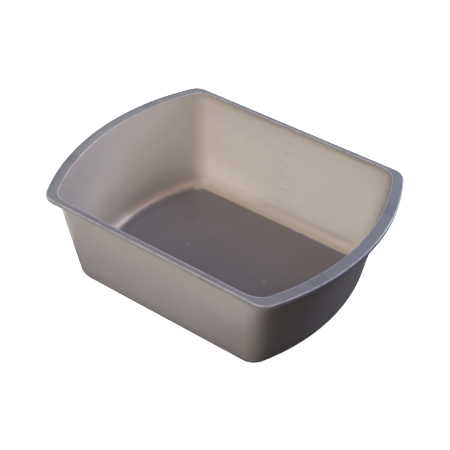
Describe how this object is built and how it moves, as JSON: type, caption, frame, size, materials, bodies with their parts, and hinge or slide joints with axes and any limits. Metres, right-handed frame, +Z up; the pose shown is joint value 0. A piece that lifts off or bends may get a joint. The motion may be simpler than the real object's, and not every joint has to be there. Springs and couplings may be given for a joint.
{
  "type": "hospital wash basin",
  "caption": "Rectangular open wash basin with bowed short ends, a flat rolled rim to lift it by, rounded inside corners and a flat floor on a foot ring.",
  "frame": {"origin": "centre of the footprint, on the surface that the basin stands on", "axes": "+X along the length towards one bowed end, +Y towards the long wall with the volume marks inside it, +Z up"},
  "size_m": [0.34, 0.2592, 0.1134],
  "materials": {
    "basin_plastic": "translucent warm grey polypropylene, satin, with a fine moulded texture"
  },
  "bodies": {
    "root": {"basin": "basin_plastic"}
  },
  "joints": []
}
